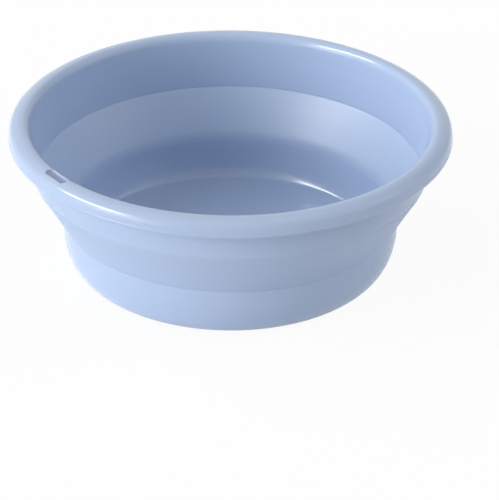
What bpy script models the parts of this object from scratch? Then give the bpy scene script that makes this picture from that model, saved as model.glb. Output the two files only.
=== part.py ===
"""Folding wash basin, open.

Three mouldings share one vertical axis. A rigid rim ring carries the rolled lip and a hanging slot,
a rigid cup forms the bottom, and a thin soft band is bonded between them. Pushing the rim down turns
the band inside out, so that the rim ends up around the cup.

Metres, +Z up. The basin stands on z = 0 and its axis is the Z axis. The hanging slot is on the -X side.
"""
import math

import bmesh
import bpy

# Overall sizes
MOUTH_DIAMETER = 0.324
LIP_WIDTH = 0.018
RIM_HEIGHT = 0.0416
BAND_HEIGHT = 0.0421
CUP_HEIGHT = 0.0449
BAND_INSET = 0.0239

# Rim ring
LIP_INNER_WIDTH = 0.0065
LIP_INNER_DROP = 0.0080
LIP_OUTER_DROP = 0.0104
LIP_SKIRT_DROP = 0.0030
LIP_SKIRT_TUCK = 0.0034
LIP_THICKNESS = 0.0024
LIP_BEAD_RADIUS = 0.0015
GUTTER_FILLET = 0.0036
RIM_WALL = 0.0026
RIM_TAPER = 0.0050
RIM_FOOT = 0.0052
RIM_STEP = 0.0014
RIM_TONGUE_HEIGHT = 0.0054
RIM_TONGUE_TIP = 0.0008

# Hanging slot through the lip
SLOT_LENGTH = 0.025
SLOT_WIDTH = 0.0070
SLOT_CENTRE_INSET = 0.0102
SLOT_END_RADIUS = 0.0034

# Soft band
BAND_WALL = 0.0022
BAND_SAG = 0.0004
BAND_PROUD = 0.0009
BAND_FOOT_PROUD = 0.0004
BOND_GAP = 0.0003

# Base cup
CUP_WALL = 0.0026
CUP_TAPER = 0.0004
CUP_TONGUE_HEIGHT = 0.0059
CUP_TONGUE_WALL = 0.0013
CORNER_WIDTH = 0.0200
CORNER_HEIGHT = 0.0341
FLOOR_LEVEL = 0.0078
FLOOR_THICKNESS = 0.0026
FLOOR_FILLET = 0.0012
FLOOR_DISC_DIAMETER = 0.194
FLOOR_DISC_RISE = 0.0006
FLOOR_STEP_WIDTH = 0.0008
FOOT_WIDTH = 0.0055
FOOT_DRAFT = 0.0010

# Cutting and meshing
CUT_OVERRUN = 0.004
MERGE_DISTANCE = 0.00002
TURN_STEPS = 72
ARC_STEPS = 7
SMALL_ARC_STEPS = 4
BAND_STEPS = 10
SLOT_END_STEPS = 6
SHARP_ANGLE = math.radians(32)

# Colours, linear
PLASTIC_BLUE = (0.413, 0.509, 0.694, 1.0)
SOFT_BLUE = (0.405, 0.500, 0.686, 1.0)
HARD_ROUGHNESS = 0.32
SOFT_ROUGHNESS = 0.42

# Radii and heights that follow from the sizes above
mouth_r = MOUTH_DIAMETER / 2
rim_edge_r = mouth_r - RIM_TAPER
joint_r = rim_edge_r + RIM_FOOT
cup_edge_r = joint_r - BAND_INSET
cup_shoulder_r = cup_edge_r - CUP_TAPER
rim_edge_z = CUP_HEIGHT + BAND_HEIGHT


def clear_scene():
    """Start from an empty file."""
    for obj in list(bpy.data.objects):
        bpy.data.objects.remove(obj, do_unlink=True)


def make_collection(name):
    """Add a collection to the scene."""
    collection = bpy.data.collections.new(name)
    bpy.context.scene.collection.children.link(collection)
    return collection


def plastic(name, colour, roughness):
    """One moulded plastic."""
    material = bpy.data.materials.new(name)
    material.use_nodes = True
    shader = material.node_tree.nodes["Principled BSDF"]
    shader.inputs["Base Color"].default_value = colour
    shader.inputs["Roughness"].default_value = roughness
    shader.inputs["Metallic"].default_value = 0.0
    return material


def arc(centre, width, height, start, end, steps):
    """Points along an ellipse from one angle to another, in degrees from +r towards +z."""
    points = []
    for step in range(steps + 1):
        angle = math.radians(start + (end - start) * step / steps)
        points.append((centre[0] + width * math.cos(angle), centre[1] + height * math.sin(angle)))
    return points


def blend(a, b, share):
    """The value that lies a share of the way from a to b."""
    return a + (b - a) * share


def without_repeats(points):
    """Leave out a point that repeats the one before it."""
    kept = []
    for point in points:
        if not kept or math.dist(point, kept[-1]) > MERGE_DISTANCE:
            kept.append(point)
    return kept


def turned(name, profile, closed, collection, material):
    """Turn a profile of (radius, height) points about Z. It runs down its outer side."""
    points = without_repeats(profile)
    count = len(points)
    edges = [(i, i + 1) for i in range(count - 1)]
    if closed:
        edges.append((count - 1, 0))
    mesh = bpy.data.meshes.new(name)
    mesh.from_pydata([(radius, 0.0, height) for radius, height in points], edges, [])
    mesh.materials.append(material)
    obj = bpy.data.objects.new(name, mesh)
    collection.objects.link(obj)
    screw = obj.modifiers.new("Turn", 'SCREW')
    screw.axis = 'Z'
    screw.angle = math.tau
    screw.steps = TURN_STEPS
    screw.render_steps = TURN_STEPS
    screw.use_merge_vertices = True
    screw.merge_threshold = MERGE_DISTANCE
    return obj


def finish_mesh(obj, material):
    """Put the evaluated mesh on the object and shade it smooth between sharp edges."""
    bpy.context.view_layer.update()
    evaluated = obj.evaluated_get(bpy.context.evaluated_depsgraph_get())
    mesh = bpy.data.meshes.new_from_object(evaluated)
    mesh.name = obj.name
    obj.modifiers.clear()
    obj.data = mesh
    mesh.materials.clear()
    mesh.materials.append(material)
    mesh.shade_smooth()
    mesh.set_sharp_from_angle(angle=SHARP_ANGLE)


def rim_profile():
    """Section of the rim ring. Height 0 is the outer step where the soft band starts."""
    crown = (mouth_r + LIP_INNER_WIDTH, RIM_HEIGHT)
    lip_r = mouth_r + LIP_WIDTH
    wide_z = crown[1] - LIP_OUTER_DROP
    mouth_z = crown[1] - LIP_INNER_DROP
    bead = (lip_r - LIP_SKIRT_TUCK, wide_z - LIP_SKIRT_DROP)
    inner_edge = arc((crown[0], mouth_z), LIP_INNER_WIDTH, LIP_INNER_DROP, 180, 90, ARC_STEPS)
    outer_roll = arc((crown[0], wide_z), lip_r - crown[0], LIP_OUTER_DROP, 90, 0, ARC_STEPS)
    skirt = arc((bead[0], wide_z), LIP_SKIRT_TUCK, LIP_SKIRT_DROP, 0, -40, SMALL_ARC_STEPS)
    bead_round = arc(bead, LIP_BEAD_RADIUS, LIP_BEAD_RADIUS, 30, -180, ARC_STEPS)
    gutter_r = lip_r - LIP_THICKNESS
    gutter = arc((crown[0], wide_z), gutter_r - crown[0], LIP_OUTER_DROP - LIP_THICKNESS, 0, 90, ARC_STEPS)
    wall_top = (mouth_r + RIM_WALL, crown[1] - LIP_THICKNESS - GUTTER_FILLET)
    root = (wall_top[0] + GUTTER_FILLET, wall_top[1])
    fillet = arc(root, GUTTER_FILLET, GUTTER_FILLET, 90, 180, SMALL_ARC_STEPS)
    tongue = [(joint_r, 0.0), (joint_r - RIM_STEP, 0.0),
              (rim_edge_r + RIM_TONGUE_TIP, -RIM_TONGUE_HEIGHT), (rim_edge_r, -RIM_TONGUE_HEIGHT)]
    return inner_edge + outer_roll + skirt + bead_round + gutter + fillet + tongue


def slot_cutter(collection):
    """An upright bar with round ends that cuts the hanging slot."""
    mesh = bpy.data.meshes.new("slot_cutter")
    depth = LIP_THICKNESS + 2 * CUT_OVERRUN
    form = bmesh.new()
    bmesh.ops.create_cube(form, size=1.0)
    bmesh.ops.scale(form, vec=(SLOT_WIDTH, SLOT_LENGTH, depth), verts=form.verts)
    upright = [edge for edge in form.edges
               if abs(edge.verts[0].co.z - edge.verts[1].co.z) > MERGE_DISTANCE]
    bmesh.ops.bevel(form, geom=upright, offset=min(SLOT_END_RADIUS, SLOT_WIDTH / 2 - MERGE_DISTANCE),
                    segments=SLOT_END_STEPS, profile=0.5, affect='EDGES')
    bmesh.ops.recalc_face_normals(form, faces=form.faces)
    form.to_mesh(mesh)
    form.free()
    cutter = bpy.data.objects.new("slot_cutter", mesh)
    collection.objects.link(cutter)
    cutter.hide_render = True
    cutter.display_type = 'WIRE'
    cutter.location = (SLOT_CENTRE_INSET - mouth_r - LIP_WIDTH, 0.0, rim_edge_z + RIM_HEIGHT)
    return cutter


def make_rim_ring(collection, cutters, material):
    """The rigid ring: rolled lip, hanging slot, conical wall and the tongue that the band is bonded to."""
    rim = turned("rim_ring", rim_profile(), True, collection, material)
    rim.location = (0.0, 0.0, rim_edge_z)
    cut = rim.modifiers.new("Hanging slot", 'BOOLEAN')
    cut.operation = 'DIFFERENCE'
    cut.solver = 'EXACT'
    cut.object = slot_cutter(cutters)
    finish_mesh(rim, material)
    return rim


def band_curve(low, high):
    """One face of the band, from its foot up to its top: a cone that sags inwards between its ends."""
    points = []
    for step in range(BAND_STEPS + 1):
        share = step / BAND_STEPS
        sag = BAND_SAG * 4 * share * (1 - share)
        points.append((blend(low[0], high[0], share) - sag, blend(low[1], high[1], share)))
    return points


def band_profile():
    """Section of the soft band. Height 0 is the top edge of the cup."""
    top_z = BAND_HEIGHT - BOND_GAP
    ledge_z = BAND_HEIGHT - RIM_TONGUE_HEIGHT - BOND_GAP
    outer = band_curve((cup_edge_r, BOND_GAP), (joint_r, top_z))
    inner = band_curve((cup_edge_r - BAND_WALL, BOND_GAP), (rim_edge_r - BAND_PROUD, ledge_z - BAND_PROUD))
    hook_r = cup_edge_r - CUP_TONGUE_WALL - BOND_GAP
    hook_drop = CUP_TONGUE_HEIGHT - BOND_GAP
    hook_lean = CUP_TAPER * hook_drop / (CUP_HEIGHT - CORNER_HEIGHT)
    skin_r = cup_edge_r - CUP_WALL - BAND_FOOT_PROUD
    hook = [(hook_r, BOND_GAP), (hook_r - hook_lean, -hook_drop), (skin_r - hook_lean, -hook_drop)]
    pocket = [(rim_edge_r, ledge_z), (rim_edge_r + RIM_TONGUE_TIP + BOND_GAP, ledge_z),
              (joint_r - RIM_STEP + BOND_GAP, top_z)]
    return outer[::-1] + hook + inner + pocket


def make_fold_band(collection, material):
    """The soft band between the ring and the cup, which turns inside out."""
    band = turned("fold_band", band_profile(), True, collection, material)
    band.location = (0.0, 0.0, CUP_HEIGHT)
    finish_mesh(band, material)
    return band


def rounded_knee(start, knee, end, steps):
    """Points along the curve that rounds off a corner between two straight lines."""
    points = []
    for step in range(steps + 1):
        share = step / steps
        near = (blend(start[0], knee[0], share), blend(start[1], knee[1], share))
        far = (blend(knee[0], end[0], share), blend(knee[1], end[1], share))
        points.append((blend(near[0], far[0], share), blend(near[1], far[1], share)))
    return points


def cup_inside(corner_r):
    """Inner face of the cup, from the middle of its floor up to the top of its round corner."""
    width = CORNER_WIDTH - CUP_WALL
    height = CORNER_HEIGHT - CUP_WALL
    disc_r = FLOOR_DISC_DIAMETER / 2
    disc_z = FLOOR_LEVEL + FLOOR_DISC_RISE
    turn = math.asin((CORNER_HEIGHT - FLOOR_LEVEL - FLOOR_FILLET) / height)
    wall_end = (corner_r + width * math.cos(turn), FLOOR_LEVEL + FLOOR_FILLET)
    lean = width / height * math.tan(turn)
    knee = (wall_end[0] - lean * FLOOR_FILLET, FLOOR_LEVEL)
    floor_end = (knee[0] - math.dist(wall_end, knee), FLOOR_LEVEL)
    floor = [(0.0, disc_z), (disc_r - FLOOR_STEP_WIDTH, disc_z), (disc_r, FLOOR_LEVEL)]
    fillet = rounded_knee(floor_end, knee, wall_end, SMALL_ARC_STEPS)
    wall = arc((corner_r, CORNER_HEIGHT), width, height, -math.degrees(turn), 0, ARC_STEPS)
    return floor + fillet + wall


def cup_profile():
    """Section of the cup, from the middle of its floor over its edge to the middle of its underside."""
    corner_r = cup_shoulder_r - CORNER_WIDTH
    disc_r = FLOOR_DISC_DIAMETER / 2
    under_z = FLOOR_LEVEL - FLOOR_THICKNESS
    rebate_share = CUP_TONGUE_HEIGHT / (CUP_HEIGHT - CORNER_HEIGHT)
    rebate_r = cup_edge_r - CUP_TAPER * rebate_share
    rebate_z = CUP_HEIGHT - CUP_TONGUE_HEIGHT
    edge = [(rebate_r - CUP_WALL, rebate_z), (rebate_r - CUP_TONGUE_WALL, rebate_z),
            (cup_edge_r - CUP_TONGUE_WALL, CUP_HEIGHT), (cup_edge_r, CUP_HEIGHT)]
    outside = arc((corner_r, CORNER_HEIGHT), CORNER_WIDTH, CORNER_HEIGHT, 0, -90, ARC_STEPS)
    foot = [(corner_r - FOOT_WIDTH, 0.0), (corner_r - FOOT_WIDTH - FOOT_DRAFT, under_z)]
    underside = [(disc_r, under_z), (disc_r - FLOOR_STEP_WIDTH, under_z + FLOOR_DISC_RISE),
                 (0.0, under_z + FLOOR_DISC_RISE)]
    return cup_inside(corner_r) + edge + outside + foot + underside


def make_base_cup(collection, material):
    """The rigid cup: wall, round corner, and a floor held clear of the ground by a standing ring."""
    cup = turned("base_cup", cup_profile(), False, collection, material)
    finish_mesh(cup, material)
    return cup


def make_basin():
    """Build the three mouldings under one empty. The rim hangs on its own empty, on the slide axis."""
    clear_scene()
    parts = make_collection("folding_wash_basin")
    cutters = make_collection("cutters")
    hard = plastic("hard_plastic", PLASTIC_BLUE, HARD_ROUGHNESS)
    soft = plastic("soft_plastic", SOFT_BLUE, SOFT_ROUGHNESS)
    basin = bpy.data.objects.new("basin", None)
    parts.objects.link(basin)
    rim_slide = bpy.data.objects.new("rim_slide", None)
    parts.objects.link(rim_slide)
    rim_slide.parent = basin
    for piece in (make_base_cup(parts, hard), make_fold_band(parts, soft)):
        piece.parent = basin
    make_rim_ring(parts, cutters, hard).parent = rim_slide
    bpy.context.view_layer.update()


make_basin()
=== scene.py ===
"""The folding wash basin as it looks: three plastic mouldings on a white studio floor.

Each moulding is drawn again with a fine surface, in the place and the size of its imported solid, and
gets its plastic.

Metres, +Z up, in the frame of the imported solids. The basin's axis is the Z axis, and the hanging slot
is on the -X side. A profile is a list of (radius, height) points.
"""
import math

import bmesh
import bpy
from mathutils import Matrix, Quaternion, Vector


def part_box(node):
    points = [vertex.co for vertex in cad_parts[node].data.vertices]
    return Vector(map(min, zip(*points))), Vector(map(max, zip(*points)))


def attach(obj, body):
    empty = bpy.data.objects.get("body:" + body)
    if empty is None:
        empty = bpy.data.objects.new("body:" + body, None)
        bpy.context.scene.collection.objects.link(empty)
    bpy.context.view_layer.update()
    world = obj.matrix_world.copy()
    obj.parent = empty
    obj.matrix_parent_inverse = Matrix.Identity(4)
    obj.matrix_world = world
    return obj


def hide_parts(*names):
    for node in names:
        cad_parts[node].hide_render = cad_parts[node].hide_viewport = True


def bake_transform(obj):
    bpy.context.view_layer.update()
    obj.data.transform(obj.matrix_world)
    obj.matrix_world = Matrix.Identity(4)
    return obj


# Sizes of the mouldings that their boxes don't give
MOUTH_DIAMETER = 0.324
LIP_INNER_WIDTH = 0.0065
LIP_INNER_DROP = 0.0080
LIP_INNER_LEAN = 0.0009
LIP_OUTER_DROP = 0.0104
LIP_TOP_RUN = 0.0030
LIP_BROW_INSET = 0.0016
LIP_BROW_DROP = 0.0033
LIP_BROW_EASE = 0.0030
LIP_FACE_INSET = 0.0003
LIP_FACE_DROP = 0.0081
LIP_FACE_EASE = 0.0016
LIP_EDGE_RADIUS = 0.0010
LIP_EDGE_DROP = 0.0116
LIP_SKIRT_DROP = 0.0030
LIP_SKIRT_TUCK = 0.0034
LIP_THICKNESS = 0.0024
LIP_BEAD_RADIUS = 0.0015
GUTTER_FILLET = 0.0036
RIM_WALL = 0.0026
RIM_TAPER = 0.0050
RIM_FOOT = 0.0052
RIM_STEP = 0.0014
RIM_TONGUE_HEIGHT = 0.0054
RIM_TONGUE_TIP = 0.0008
SLOT_LENGTH = 0.025
SLOT_WIDTH = 0.0070
SLOT_CENTRE_INSET = 0.0102
BAND_WALL = 0.0022
BAND_SAG = 0.0004
BAND_PROUD = 0.0009
CUP_WALL = 0.0026
CUP_TAPER = 0.0004
CUP_TONGUE_HEIGHT = 0.0059
CUP_TONGUE_WALL = 0.0013
CORNER_WIDTH = 0.0200
CORNER_HEIGHT = 0.0341
FLOOR_LEVEL = 0.0078
FLOOR_THICKNESS = 0.0026
FLOOR_FILLET = 0.0012
FLOOR_DISC_DIAMETER = 0.194
FLOOR_DISC_RISE = 0.0006
FLOOR_STEP_WIDTH = 0.0008
FOOT_WIDTH = 0.0055
FOOT_DRAFT = 0.0010

# Fine seams and edges
BOND_GAP = 0.00003
SEAM_EDGE = 0.0002
FOOT_EDGE = 0.0005
LEDGE_EDGE = 0.0008
KNEE_REACH = 0.0060
ANKLE_REACH = 0.0045
SLOT_EDGE = 0.0006
SLOT_MOUTH_EDGE = 0.0019
SLOT_UNDER_EDGE = 0.0002

# How fine the surfaces are drawn
TURN_STEPS = 360
ARC_STEPS = 20
SMALL_ARC_STEPS = 8
EDGE_STEPS = 4
BROW_STEPS = 6
KNEE_STEPS = 12
BAND_STEPS = 44
SLOT_WINDOW_STEPS = 7
SLOT_WINDOW_MARGIN = 0.0028
SLOT_CORNER_STEPS = 4
SLOT_RING_SHARES = (0.32, 0.58, 0.78, 0.92)
SLOT_EDGE_ANGLES = (15, 30, 45, 60, 75, 90)
LIP_EDGE_ANGLES = (45, -75)
LIP_BEAD_ANGLES = (20, -180)
SHARP_ANGLE = math.radians(38)

# Plastic
HARD_COLOUR = (0.386, 0.490, 0.682, 1.0)
HARD_PALER = (0.420, 0.528, 0.726, 1.0)
SOFT_COLOUR = (0.380, 0.482, 0.672, 1.0)
SOFT_PALER = (0.413, 0.520, 0.715, 1.0)
HARD_ROUGHNESS = 0.17
SOFT_ROUGHNESS = 0.46
HARD_GRAIN = 0.15
SOFT_GRAIN = 0.35
PLASTIC_IOR = 1.49
BAND_NOISE_SCALE = 1.0
FLOW_STRETCH = (5.0, 5.0, 160.0)
DRIFT_SCALE = 9.0
WORN_SCALE = 34.0
ROUGHNESS_SPREAD = 0.05
RING_SCALE = 110.0
RING_STRENGTH = 0.25
RING_DEPTH = 0.00002
GRAIN_SCALE = 1500.0
GRAIN_DEPTH = 0.00001

# Camera: the photograph's standpoint, measured from the middle of the lip
LIP_PLANE_Z = 0.1258
VIEW_AZIMUTH = math.radians(232.3)
VIEW_ELEVATION = math.radians(26.24)
VIEW_DISTANCE = 2.0
VIEW_LENS = 177.37
VIEW_ROLL = math.radians(0.49)
AIM_RIGHT = 0.0161
AIM_HEIGHT = 0.0053

# Light
STRIP_FROM_CAMERA = math.radians(-78)
STRIP_ELEVATION = math.radians(36)
STRIP_DISTANCE = 2.5
STRIP_WIDTH = 1.6
STRIP_HEIGHT = 0.5
STRIP_POWER = 50.0
WHITE = (1.0, 1.0, 1.0, 1.0)
FLOOR_COLOUR = (0.86, 0.86, 0.87, 1.0)
FLOOR_SIZE = 12.0
FLOOR_GLOW_SHARE = 0.93
FLOOR_GLOSSY_GLOW = 0.38
SKY_GLOSSY_GLOW = 1.0
SOFT_BOX_GLOSS = 0.4

# White soft boxes in the sky: degrees round from the camera, elevation, narrowness and strength
SOFT_BOXES = (
    (-60, 15, 20, 10.5),
    (-115, 45, 15, 2.5),
    (0, 15, 20, 0.5),
    (90, 30, 15, 3.5),
    (180, 30, 15, 0.5),
    (0, 90, 12, 0.7),
)

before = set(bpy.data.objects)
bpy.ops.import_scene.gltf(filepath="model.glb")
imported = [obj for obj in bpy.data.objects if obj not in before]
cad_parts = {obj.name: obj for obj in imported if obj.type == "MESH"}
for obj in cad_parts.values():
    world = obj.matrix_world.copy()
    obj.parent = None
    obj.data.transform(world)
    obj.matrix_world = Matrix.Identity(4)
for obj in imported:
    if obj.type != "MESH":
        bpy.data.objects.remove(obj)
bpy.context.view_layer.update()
rim_low, rim_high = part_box("rim_ring")
cup_low, cup_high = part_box("base_cup")

# Radii and heights that follow
mouth_r = MOUTH_DIAMETER / 2
lip_r = rim_high.x
crown_z = rim_high.z
crown_r = mouth_r + LIP_INNER_WIDTH
rim_edge_r = mouth_r - RIM_TAPER
joint_r = rim_edge_r + RIM_FOOT
rim_edge_z = rim_low.z + RIM_TONGUE_HEIGHT
cup_edge_r = cup_high.x
cup_edge_z = cup_high.z
cup_shoulder_r = cup_edge_r - CUP_TAPER
slot_r = lip_r - SLOT_CENTRE_INSET
window_low = TURN_STEPS // 2 - SLOT_WINDOW_STEPS
window_high = TURN_STEPS // 2 + SLOT_WINDOW_STEPS


def mix(a, b, share):
    """The value that lies a share of the way from a to b."""
    return a + (b - a) * share


def arc(centre, width, height, start, end, steps):
    """Points along an ellipse from one angle to another, in degrees from +r towards +z."""
    points = []
    for step in range(steps + 1):
        angle = math.radians(mix(start, end, step / steps))
        points.append((centre[0] + width * math.cos(angle), centre[1] + height * math.sin(angle)))
    return points


def bend(start, corner, end, steps):
    """Points along a soft bend from start to end, drawn towards the corner between them."""
    start, corner, end = Vector(start), Vector(corner), Vector(end)
    points = []
    for step in range(steps + 1):
        share = step / steps
        point = start.lerp(corner, share).lerp(corner.lerp(end, share), share)
        points.append((point.x, point.y))
    return points


def eased(before, corner, after, edge, steps=EDGE_STEPS):
    """A corner between two neighbours, rounded by a short bend."""
    corner = Vector(corner)
    start = corner + (Vector(before) - corner).normalized() * edge
    end = corner + (Vector(after) - corner).normalized() * edge
    return bend(start, corner, end, steps)


def rounded(points, edges):
    """The profile with the corners at some of its places rounded. edges gives each such place its size."""
    result = []
    for place, point in enumerate(points):
        if place in edges:
            after = points[(place + 1) % len(points)]
            result += eased(points[place - 1], point, after, edges[place])
        else:
            result.append(point)
    return result


def turned_rows(form, profile):
    """A ring of vertices for each profile point. A point on the axis repeats one vertex."""
    rows = []
    for radius, height in profile:
        if radius == 0:
            rows.append([form.verts.new((0.0, 0.0, height))] * TURN_STEPS)
            continue
        row = []
        for step in range(TURN_STEPS):
            turn = math.tau * step / TURN_STEPS
            row.append(form.verts.new((radius * math.cos(turn), radius * math.sin(turn), height)))
        rows.append(row)
    return rows


def skin(form, rows, closed, windows=()):
    """Faces between neighbouring rings, but for the windows.

    A window is (first row, last row, first step, last step).
    """
    pairs = list(zip(rows, rows[1:]))
    if closed:
        pairs.append((rows[-1], rows[0]))
    for place, (row, other) in enumerate(pairs):
        for step in range(TURN_STEPS):
            if any(a <= place < b and c <= step < d for a, b, c, d in windows):
                continue
            after = (step + 1) % TURN_STEPS
            corners = dict.fromkeys((row[step], row[after], other[after], other[step]))
            form.faces.new(list(corners))


def finished(form, name, material):
    """Make the mesh object, smooth but for its sharp corners, with its faces outwards."""
    bmesh.ops.recalc_face_normals(form, faces=form.faces)
    mesh = bpy.data.meshes.new(name)
    form.to_mesh(mesh)
    form.free()
    mesh.shade_smooth()
    mesh.set_sharp_from_angle(angle=SHARP_ANGLE)
    mesh.materials.append(material)
    piece = bpy.data.objects.new(name, mesh)
    bpy.context.scene.collection.objects.link(piece)
    return piece


def band_curve(low, high):
    """One face of the band, from its foot up: a cone that sags inwards between its ends."""
    points = []
    for step in range(BAND_STEPS + 1):
        share = step / BAND_STEPS
        sag = BAND_SAG * 4 * share * (1 - share)
        points.append((mix(low[0], high[0], share) - sag, mix(low[1], high[1], share)))
    return points


def outer_knee(outer):
    """The bend from the band's outer face into the rim's wall. The seam is at the middle of it."""
    wall_top = (mouth_r + RIM_WALL, crown_z - LIP_THICKNESS - GUTTER_FILLET)
    kept = [point for point in outer if math.dist(point, outer[-1]) > KNEE_REACH]
    return kept, eased(kept[-1], outer[-1], wall_top, KNEE_REACH, KNEE_STEPS)


def rim_profile():
    """Section of the rim ring, closed: over the lip, round its bead, up the gutter and down the wall."""
    wide_z = crown_z - LIP_OUTER_DROP
    mouth_z = crown_z - LIP_INNER_DROP
    bead = (lip_r - LIP_SKIRT_TUCK, wide_z - LIP_SKIRT_DROP)
    inner_edge = bend((mouth_r, mouth_z), (mouth_r + LIP_INNER_LEAN, crown_z), (crown_r, crown_z), ARC_STEPS)
    top = (crown_r + LIP_TOP_RUN, crown_z)
    brow = (lip_r - LIP_BROW_INSET, crown_z - LIP_BROW_DROP)
    face = (lip_r - LIP_FACE_INSET, crown_z - LIP_FACE_DROP)
    edge = (lip_r - LIP_EDGE_RADIUS, crown_z - LIP_EDGE_DROP)
    outer_roll = eased((crown_r, crown_z), top, brow, LIP_TOP_RUN)[1:]
    outer_roll += eased(top, brow, face, LIP_BROW_EASE, BROW_STEPS)
    outer_roll += eased(brow, face, (face[0], edge[1]), LIP_FACE_EASE)
    edge_round = arc(edge, LIP_EDGE_RADIUS, LIP_EDGE_RADIUS, *LIP_EDGE_ANGLES, SMALL_ARC_STEPS)
    bead_round = arc(bead, LIP_BEAD_RADIUS, LIP_BEAD_RADIUS, *LIP_BEAD_ANGLES, SMALL_ARC_STEPS)
    gutter_r = lip_r - LIP_THICKNESS
    gutter = arc((crown_r, wide_z), gutter_r - crown_r, LIP_OUTER_DROP - LIP_THICKNESS, 0, 90, ARC_STEPS)
    wall_top = (mouth_r + RIM_WALL, crown_z - LIP_THICKNESS - GUTTER_FILLET)
    root = (wall_top[0] + GUTTER_FILLET, wall_top[1])
    fillet = arc(root, GUTTER_FILLET, GUTTER_FILLET, 90, 180, SMALL_ARC_STEPS)
    knee = outer_knee(band_curve((cup_edge_r, cup_edge_z), (joint_r, rim_edge_z)))[1][:KNEE_STEPS // 2 - 1:-1]
    foot = [(joint_r - RIM_STEP, rim_edge_z), (rim_edge_r + RIM_TONGUE_TIP, rim_low.z),
            (rim_edge_r, rim_low.z)]
    lip = inner_edge + outer_roll + edge_round + bead_round + gutter + fillet + knee
    last = len(lip)
    return rounded(lip + foot, {last: SEAM_EDGE, last + 1: SEAM_EDGE, last + 2: FOOT_EDGE})


def radius_at(profile, place):
    """Radius at a place along the profile, which may lie between two points."""
    low = int(place)
    return mix(profile[low][0], profile[low + 1][0], place - low)


def height_at(profile, place):
    """Height at a place along the profile, which may lie between two points."""
    low = int(place)
    return mix(profile[low][1], profile[low + 1][1], place - low)


def place_of(profile, radius, first, last):
    """The place between two rows at which the profile has a radius."""
    for place in range(first, last):
        a = profile[place][0]
        b = profile[place + 1][0]
        if min(a, b) <= radius <= max(a, b):
            return place + (radius - a) / (b - a)
    raise ValueError("the slot reaches past its window")


def slot_spokes(across_steps):
    """Round the slot: the middle that each point is measured from, and its way out, along and across."""
    reach = SLOT_LENGTH / 2 - SLOT_WIDTH / 2
    straight_steps = 2 * SLOT_WINDOW_STEPS - 2 * SLOT_CORNER_STEPS
    mouth_side = [(-reach, way) for way in arc((0.0, 0.0), 1.0, 1.0, 225, 270, SLOT_CORNER_STEPS)]
    mouth_side += [(mix(-reach, reach, step / straight_steps), (0.0, -1.0))
                   for step in range(1, straight_steps)]
    mouth_side += [(reach, way) for way in arc((0.0, 0.0), 1.0, 1.0, 270, 315, SLOT_CORNER_STEPS)]
    end = [(reach, way) for way in arc((0.0, 0.0), 1.0, 1.0, 315, 405, across_steps)]
    half = mouth_side[:-1] + end[:-1]
    return half + [(-middle, (-along, -across)) for middle, (along, across) in half]


def slot_edge_size(way, edge, mouth_edge):
    """Size of the slot's rounded edge, which grows towards the mouth."""
    return mix(edge, mouth_edge, max(0.0, -way[1]) ** 2)


def slot_point(profile, window, spoke, offset):
    """The place along the profile and the step round the axis of a point outside the slot's wall."""
    middle, way = spoke
    reach = SLOT_WIDTH / 2 + offset
    x = -slot_r - way[1] * reach
    y = -middle - way[0] * reach
    radius = math.hypot(x, y)
    step = math.atan2(y, x) % math.tau / math.tau * TURN_STEPS
    return place_of(profile, radius, min(window), max(window)), step


def surface_vertex(form, profile, place, step, depth=0.0):
    """A new vertex on the turned surface, or a depth below it."""
    radius = radius_at(profile, place)
    turn = math.tau * step / TURN_STEPS
    height = height_at(profile, place) - depth
    return form.verts.new((radius * math.cos(turn), radius * math.sin(turn), height))


def window_border(window):
    """Rows and steps round a window in the surface, from its inner side on."""
    inner_row, outer_row = window
    outwards = 1 if outer_row > inner_row else -1
    border = [(inner_row, step) for step in range(window_low, window_high)]
    border += [(row, window_high) for row in range(inner_row, outer_row, outwards)]
    border += [(outer_row, step) for step in range(window_high, window_low, -1)]
    border += [(row, window_low) for row in range(outer_row, inner_row, -outwards)]
    return border


def bridge(form, ring, other):
    """Faces between two rings of as many vertices."""
    for step, vertex in enumerate(ring):
        after = (step + 1) % len(ring)
        form.faces.new((vertex, ring[after], other[after], other[step]))


def slot_mouth(form, rows, profile, window, edge, mouth_edge, down):
    """Fill a window in to the slot's rounded edge. The ring at the end of its wall is returned.

    down is 1 on the upper side of the lip, where the wall goes down, and -1 on the lower side.
    """
    border = window_border(window)
    spokes = slot_spokes(abs(window[1] - window[0]))
    sizes = [slot_edge_size(way, edge, mouth_edge) for middle, way in spokes]
    rim = [slot_point(profile, window, spoke, size) for spoke, size in zip(spokes, sizes)]
    ring = [rows[row][step] for row, step in border]
    for share in SLOT_RING_SHARES + (1.0,):
        inner = [surface_vertex(form, profile, mix(row, place, share), mix(step, turn, share))
                 for (row, step), (place, turn) in zip(border, rim)]
        bridge(form, ring, inner)
        ring = inner
    for degrees in SLOT_EDGE_ANGLES:
        angle = math.radians(degrees)
        inner = []
        for spoke, size in zip(spokes, sizes):
            place, step = slot_point(profile, window, spoke, size * (1 - math.sin(angle)))
            inner.append(surface_vertex(form, profile, place, step, down * size * (1 - math.cos(angle))))
        bridge(form, ring, inner)
        ring = inner
    return ring


def slot_windows(profile):
    """The rows to leave open round the slot, on the upper and on the lower side of the lip."""
    reach = SLOT_WIDTH / 2 + SLOT_WINDOW_MARGIN
    upper = range(ARC_STEPS * 2)
    inner_row = max(row for row in upper if profile[row][0] < slot_r - reach)
    outer_row = min(row for row in upper if profile[row][0] > slot_r + reach)
    wall_row = min(row for row in range(outer_row, len(profile)) if profile[row][0] <= mouth_r + RIM_WALL)
    return (inner_row, outer_row), (wall_row, wall_row - outer_row + inner_row)


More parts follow.
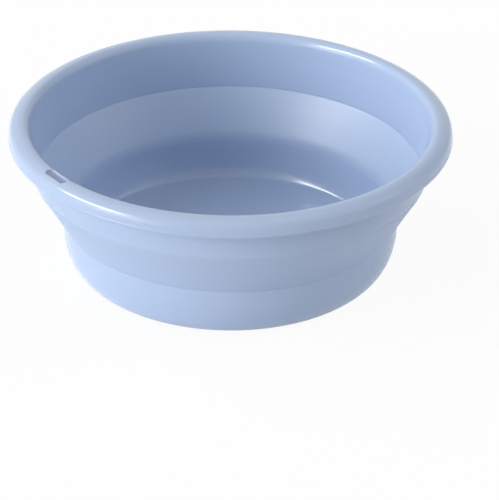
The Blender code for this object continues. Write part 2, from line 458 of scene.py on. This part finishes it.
def make_rim(material):
    """The rigid ring: rolled lip, hanging slot with soft edges, gutter, conical wall and foot."""
    profile = rim_profile()
    form = bmesh.new()
    rows = turned_rows(form, profile)
    upper, lower = slot_windows(profile)
    skin(form, rows, True, [(min(window), max(window), window_low, window_high)
                            for window in (upper, lower)])
    top = slot_mouth(form, rows, profile, upper, SLOT_EDGE, SLOT_MOUTH_EDGE, 1)
    bottom = slot_mouth(form, rows, profile, lower, SLOT_UNDER_EDGE, SLOT_UNDER_EDGE, -1)
    bridge(form, top, bottom)
    rim = finished(form, "rim", material)
    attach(rim, "rim")
    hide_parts("rim_ring")


def band_profile():
    """Section of the soft band, closed: down its outer face, round its foot inside the cup, and up."""
    foot_z = cup_edge_z + BOND_GAP
    top_z = rim_edge_z - BOND_GAP
    ledge_z = rim_low.z - BOND_GAP
    face, knee = outer_knee(band_curve((cup_edge_r, foot_z), (joint_r, top_z)))
    outer = (face + knee[:KNEE_STEPS // 2 + 1])[::-1]
    hook_r = cup_edge_r - CUP_TONGUE_WALL - BOND_GAP
    hook_z = cup_edge_z - CUP_TONGUE_HEIGHT + BOND_GAP
    lean = CUP_TAPER * (cup_edge_z - hook_z) / (cup_edge_z - CORNER_HEIGHT)
    hook = [(hook_r, foot_z), (hook_r - lean, hook_z), (cup_edge_r - CUP_WALL - lean, hook_z)]
    inner = band_curve((cup_edge_r - BAND_WALL, foot_z), (rim_edge_r - BAND_PROUD, ledge_z - BAND_PROUD))
    kept = [point for point in inner if math.dist(point, inner[0]) > ANKLE_REACH]
    ankle = eased(hook[-1], inner[0], kept[0], ANKLE_REACH, KNEE_STEPS)
    pocket = [(rim_edge_r, ledge_z), (rim_edge_r + RIM_TONGUE_TIP + BOND_GAP, ledge_z),
              (joint_r - RIM_STEP + BOND_GAP, top_z)]
    profile = outer + hook + ankle + kept + pocket
    ledge = len(profile) - len(pocket) - 1
    return rounded(profile, {len(outer) - 1: SEAM_EDGE, ledge: LEDGE_EDGE})


def make_band(material):
    """The soft band, joined to the rim at its top and to the cup at its foot."""
    form = bmesh.new()
    skin(form, turned_rows(form, band_profile()), True)
    band = finished(form, "band", material)
    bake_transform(band)
    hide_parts("fold_band")


def cup_inside(corner_r):
    """Inner face of the cup, from the middle of its floor up to the top of its round corner."""
    width = CORNER_WIDTH - CUP_WALL
    height = CORNER_HEIGHT - CUP_WALL
    disc_r = FLOOR_DISC_DIAMETER / 2
    disc_z = FLOOR_LEVEL + FLOOR_DISC_RISE
    turn = math.asin((CORNER_HEIGHT - FLOOR_LEVEL - FLOOR_FILLET) / height)
    wall_end = (corner_r + width * math.cos(turn), FLOOR_LEVEL + FLOOR_FILLET)
    knee = (wall_end[0] - width / height * math.tan(turn) * FLOOR_FILLET, FLOOR_LEVEL)
    run = math.dist(wall_end, knee)
    floor = rounded([(0.0, disc_z), (disc_r - FLOOR_STEP_WIDTH, disc_z), (disc_r, FLOOR_LEVEL),
                     (knee[0] - 2 * run, FLOOR_LEVEL)], {1: SEAM_EDGE, 2: SEAM_EDGE})
    fillet = eased(floor[-1], knee, wall_end, run)
    wall = arc((corner_r, CORNER_HEIGHT), width, height, -math.degrees(turn), 0, ARC_STEPS)
    return floor + fillet + wall[1:]


def cup_profile():
    """Section of the cup, from the middle of its floor over its edge to the middle of its underside."""
    disc_r = FLOOR_DISC_DIAMETER / 2
    corner_r = cup_shoulder_r - CORNER_WIDTH
    under_z = FLOOR_LEVEL - FLOOR_THICKNESS
    rebate_r = cup_edge_r - CUP_TAPER * CUP_TONGUE_HEIGHT / (cup_edge_z - CORNER_HEIGHT)
    rebate_z = cup_edge_z - CUP_TONGUE_HEIGHT
    edge = [(rebate_r - CUP_WALL, rebate_z), (rebate_r - CUP_TONGUE_WALL, rebate_z),
            (cup_edge_r - CUP_TONGUE_WALL, cup_edge_z), (cup_edge_r, cup_edge_z)]
    outside = arc((corner_r, CORNER_HEIGHT), CORNER_WIDTH, CORNER_HEIGHT, 0, -90, ARC_STEPS)
    foot = [(corner_r - FOOT_WIDTH, 0.0), (corner_r - FOOT_WIDTH - FOOT_DRAFT, under_z)]
    under = [(disc_r, under_z), (disc_r - FLOOR_STEP_WIDTH, under_z + FLOOR_DISC_RISE),
             (0.0, under_z + FLOOR_DISC_RISE)]
    profile = cup_inside(corner_r) + edge + outside + foot + under
    last = len(profile) - 1
    seam = last - len(under) - len(foot) - len(outside)
    edges = {seam: SEAM_EDGE, last - 4: FOOT_EDGE, last - 3: FOOT_EDGE,
             last - 2: SEAM_EDGE, last - 1: SEAM_EDGE}
    return rounded(profile, edges)


def make_cup(material):
    """The rigid cup with its round corner and the lifted disc in its floor."""
    form = bmesh.new()
    skin(form, turned_rows(form, cup_profile()), False)
    cup = finished(form, "cup", material)
    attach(cup, "cup")
    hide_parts("base_cup")


def two_values(nodes, links, operation, value, other):
    """Two values put through one operation. Each is a socket or a number."""
    node = nodes.new("ShaderNodeMath")
    node.operation = operation
    for socket, given in zip(node.inputs, (value, other)):
        if isinstance(given, bpy.types.NodeSocket):
            links.new(given, socket)
        else:
            socket.default_value = given
    return node.outputs["Value"]


def gloss_or_glass(nodes, links, path):
    """1 for a ray that gloss or glass sends out, and 0 for any other."""
    glossy = path.outputs["Is Glossy Ray"]
    return two_values(nodes, links, 'MAXIMUM', glossy, path.outputs["Is Transmission Ray"])


def noise(nodes, links, place, scale, stretch=(1.0, 1.0, 1.0)):
    """A soft random value over the surface, stretched along the axes."""
    mapping = nodes.new("ShaderNodeMapping")
    mapping.inputs["Scale"].default_value = stretch
    links.new(place, mapping.inputs["Vector"])
    texture = nodes.new("ShaderNodeTexNoise")
    texture.inputs["Scale"].default_value = scale
    links.new(mapping.outputs["Vector"], texture.inputs["Vector"])
    return texture.outputs["Fac"]


def spread(nodes, links, value, low, high):
    """A value from 0 to 1, moved to lie between low and high."""
    node = nodes.new("ShaderNodeMapRange")
    node.inputs["To Min"].default_value = low
    node.inputs["To Max"].default_value = high
    links.new(value, node.inputs["Value"])
    return node.outputs["Result"]


def plastic(name, colour, paler, roughness, grain):
    """Moulded plastic: colour that drifts in faint flow bands, a mould's turning marks and fine grain."""
    material = bpy.data.materials.new(name)
    material.use_nodes = True
    nodes = material.node_tree.nodes
    links = material.node_tree.links
    shader = nodes["Principled BSDF"]
    shader.inputs["IOR"].default_value = PLASTIC_IOR
    place = nodes.new("ShaderNodeTexCoord").outputs["Object"]
    bands = noise(nodes, links, place, BAND_NOISE_SCALE, FLOW_STRETCH)
    drift = noise(nodes, links, place, DRIFT_SCALE)
    tint = nodes.new("ShaderNodeMix")
    tint.data_type = 'RGBA'
    tint.inputs["A"].default_value = colour
    tint.inputs["B"].default_value = paler
    links.new(two_values(nodes, links, 'MULTIPLY', two_values(nodes, links, 'ADD', bands, drift), 0.5),
              tint.inputs["Factor"])
    links.new(tint.outputs["Result"], shader.inputs["Base Color"])
    worn = noise(nodes, links, place, WORN_SCALE)
    links.new(spread(nodes, links, worn, roughness - ROUGHNESS_SPREAD, roughness + ROUGHNESS_SPREAD),
              shader.inputs["Roughness"])
    rings = nodes.new("ShaderNodeTexWave")
    rings.wave_type = 'RINGS'
    rings.rings_direction = 'Z'
    rings.inputs["Scale"].default_value = RING_SCALE
    links.new(place, rings.inputs["Vector"])
    marks = nodes.new("ShaderNodeBump")
    marks.inputs["Strength"].default_value = RING_STRENGTH
    marks.inputs["Distance"].default_value = RING_DEPTH
    links.new(rings.outputs["Fac"], marks.inputs["Height"])
    fine = nodes.new("ShaderNodeBump")
    fine.inputs["Strength"].default_value = grain
    fine.inputs["Distance"].default_value = GRAIN_DEPTH
    links.new(noise(nodes, links, place, GRAIN_SCALE), fine.inputs["Height"])
    links.new(marks.outputs["Normal"], fine.inputs["Normal"])
    links.new(fine.outputs["Normal"], shader.inputs["Normal"])
    return material


def make_floor():
    """White floor. Seen directly it is lifted to white, but keeps some of the basin's shadow."""
    bpy.ops.mesh.primitive_plane_add(size=FLOOR_SIZE)
    floor = bpy.context.object
    floor.name = "floor"
    material = bpy.data.materials.new("floor_white")
    material.use_nodes = True
    nodes = material.node_tree.nodes
    links = material.node_tree.links
    nodes.remove(nodes["Principled BSDF"])
    output = nodes["Material Output"]
    paint = nodes.new("ShaderNodeBsdfDiffuse")
    paint.inputs["Color"].default_value = FLOOR_COLOUR
    seen_paint = nodes.new("ShaderNodeBsdfDiffuse")
    seen_paint.inputs["Color"].default_value = WHITE
    glow = nodes.new("ShaderNodeEmission")
    glow.inputs["Strength"].default_value = 1.0
    seen = nodes.new("ShaderNodeMixShader")
    seen.inputs["Fac"].default_value = FLOOR_GLOW_SHARE
    links.new(seen_paint.outputs["BSDF"], seen.inputs[1])
    links.new(glow.outputs["Emission"], seen.inputs[2])
    path = nodes.new("ShaderNodeLightPath")
    glossy = gloss_or_glass(nodes, links, path)
    room = nodes.new("ShaderNodeEmission")
    links.new(two_values(nodes, links, 'MULTIPLY', glossy, FLOOR_GLOSSY_GLOW), room.inputs["Strength"])
    lit = nodes.new("ShaderNodeAddShader")
    links.new(paint.outputs["BSDF"], lit.inputs[0])
    links.new(room.outputs["Emission"], lit.inputs[1])
    switch = nodes.new("ShaderNodeMixShader")
    links.new(path.outputs["Is Camera Ray"], switch.inputs["Fac"])
    links.new(lit.outputs["Shader"], switch.inputs[1])
    links.new(seen.outputs["Shader"], switch.inputs[2])
    links.new(switch.outputs["Shader"], output.inputs["Surface"])
    floor.data.materials.append(material)


def direction(azimuth, elevation):
    """The way from the basin towards an azimuth and an elevation."""
    return Vector((math.cos(azimuth) * math.cos(elevation), math.sin(azimuth) * math.cos(elevation),
                   math.sin(elevation)))


def soft_box(nodes, links, place, azimuth, elevation, narrowness, strength):
    """How bright one soft box makes the sky at a place: most in its middle, and less all round it."""
    facing = nodes.new("ShaderNodeVectorMath")
    facing.operation = 'DOT_PRODUCT'
    links.new(place, facing.inputs[0])
    facing.inputs[1].default_value = direction(VIEW_AZIMUTH + math.radians(azimuth), math.radians(elevation))
    fall = two_values(nodes, links, 'SUBTRACT', facing.outputs["Value"], 1.0)
    fade = two_values(nodes, links, 'POWER', math.exp(narrowness), fall)
    return two_values(nodes, links, 'MULTIPLY', fade, strength)


def make_sky():
    """Large white soft boxes round the basin. The camera sees a white room, and so do gloss and glass."""
    world = bpy.data.worlds.new("studio")
    bpy.context.scene.world = world
    world.use_nodes = True
    nodes = world.node_tree.nodes
    links = world.node_tree.links
    background = nodes["Background"]
    background.inputs["Color"].default_value = WHITE
    place = nodes.new("ShaderNodeTexCoord").outputs["Generated"]
    path = nodes.new("ShaderNodeLightPath")
    glossy = gloss_or_glass(nodes, links, path)
    room = two_values(nodes, links, 'MULTIPLY', glossy, SKY_GLOSSY_GLOW)
    dimmed = two_values(nodes, links, 'MULTIPLY', glossy, SOFT_BOX_GLOSS - 1)
    boxes = two_values(nodes, links, 'ADD', dimmed, 1.0)
    total = 0.0
    for box in SOFT_BOXES:
        total = two_values(nodes, links, 'ADD', total, soft_box(nodes, links, place, *box))
    total = two_values(nodes, links, 'MULTIPLY', total, boxes)
    total = two_values(nodes, links, 'ADD', total, room)
    seen = nodes.new("ShaderNodeMix")
    links.new(path.outputs["Is Camera Ray"], seen.inputs["Factor"])
    links.new(total, seen.inputs["A"])
    seen.inputs["B"].default_value = 1.0
    links.new(seen.outputs["Result"], background.inputs["Strength"])


def make_strip_light():
    """The strip of light at the left, which draws the bright lines on the lip and in the cup."""
    lamp = bpy.data.lights.new("strip", 'AREA')
    lamp.shape = 'RECTANGLE'
    lamp.size = STRIP_WIDTH
    lamp.size_y = STRIP_HEIGHT
    lamp.energy = STRIP_POWER
    strip = bpy.data.objects.new("strip", lamp)
    bpy.context.scene.collection.objects.link(strip)
    strip.visible_diffuse = False
    way = direction(VIEW_AZIMUTH + STRIP_FROM_CAMERA, STRIP_ELEVATION)
    strip.location = Vector((0.0, 0.0, crown_z)) + way * STRIP_DISTANCE
    strip.rotation_mode = 'QUATERNION'
    strip.rotation_quaternion = (-way).to_track_quat('-Z', 'Y')


def make_camera():
    """The photograph's view: down on the basin from the front, framed so that the lip lies high."""
    camera = bpy.data.objects.new("camera", bpy.data.cameras.new("camera"))
    bpy.context.scene.collection.objects.link(camera)
    bpy.context.scene.camera = camera
    camera.data.lens = VIEW_LENS
    stand = Vector((0.0, 0.0, LIP_PLANE_Z)) + direction(VIEW_AZIMUTH, VIEW_ELEVATION) * VIEW_DISTANCE
    right = Vector((-math.sin(VIEW_AZIMUTH), math.cos(VIEW_AZIMUTH), 0.0))
    aim = right * AIM_RIGHT + Vector((0.0, 0.0, AIM_HEIGHT))
    camera.location = stand
    camera.rotation_mode = 'QUATERNION'
    tilt = Quaternion((0.0, 0.0, 1.0), VIEW_ROLL)
    camera.rotation_quaternion = (aim - stand).to_track_quat('-Z', 'Y') @ tilt


make_camera()
hard = plastic("hard_plastic", HARD_COLOUR, HARD_PALER, HARD_ROUGHNESS, HARD_GRAIN)
soft = plastic("soft_plastic", SOFT_COLOUR, SOFT_PALER, SOFT_ROUGHNESS, SOFT_GRAIN)
make_rim(hard)
make_band(soft)
make_cup(hard)
make_floor()
make_sky()
make_strip_light()
bpy.context.scene.view_settings.view_transform = 'Standard'
